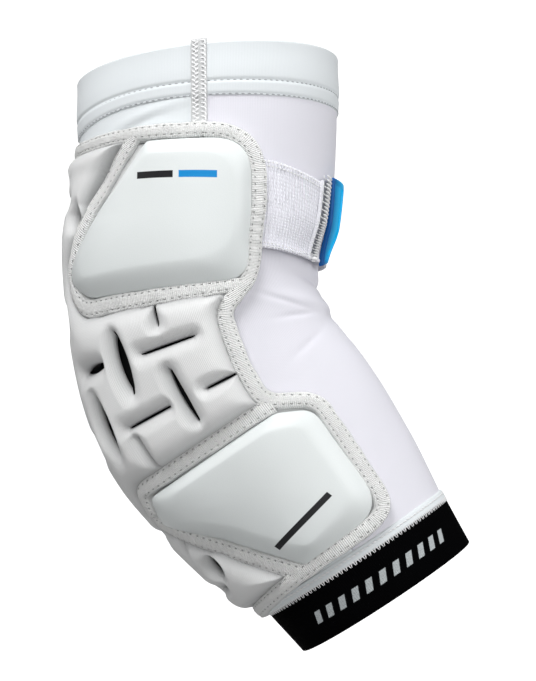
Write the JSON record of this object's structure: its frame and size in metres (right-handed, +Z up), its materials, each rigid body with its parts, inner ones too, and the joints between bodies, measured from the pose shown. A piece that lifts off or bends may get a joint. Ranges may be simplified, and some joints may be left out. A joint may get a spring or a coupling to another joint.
{
  "type": "lacrosse arm pad",
  "caption": "Bent compression sleeve for the right arm with moulded guards above and below the elbow, slit foam between them, bound edges, a strap with a pull tab and a black cuff.",
  "frame": {"origin": "centre of the arm's hollow at the elbow row, where the arm sits in the sleeve", "axes": "+Z up the upper arm, +X to the front of the arm where the forearm leans, -Y to the outward side that carries the guards"},
  "size_m": [0.1816, 0.1153, 0.2624],
  "materials": {
    "white_knit": "smooth white compression knit, matte",
    "matte_knit": "pale lavender-white fine knit, matte",
    "black_elastic": "black ribbed cuff elastic, matte",
    "seam_thread": "white flatlock and zigzag thread",
    "black_liner": "black knit liner, matte",
    "binding_tape": "white ribbed grosgrain binding, double stitched",
    "moulded_guard": "white satin moulded shell",
    "covered_foam": "white knit over soft foam lobes, matte",
    "elastic_webbing": "pale ribbed elastic webbing",
    "blue_tab": "bright blue moulded pull tab, satin"
  },
  "bodies": {
    "root": {"sleeve_back_panel": "white_knit", "sleeve_front_panel": "matte_knit", "top_hem": "white_knit", "cuff_seam": "matte_knit", "wrist_cuff": "black_elastic", "side_seam_near": "seam_thread", "side_seam_far": "seam_thread", "pad_liner": "black_liner", "border_tape_near": "binding_tape", "border_tape_far": "binding_tape", "upper_guard_tape": "binding_tape", "lower_guard_tape": "binding_tape", "upper_guard": "moulded_guard", "lower_guard": "moulded_guard", "flex_panel": "covered_foam", "elastic_strap": "elastic_webbing", "strap_far_band": "elastic_webbing", "strap_end_bar": "seam_thread", "strap_pull_tab": "blue_tab"}
  },
  "joints": []
}
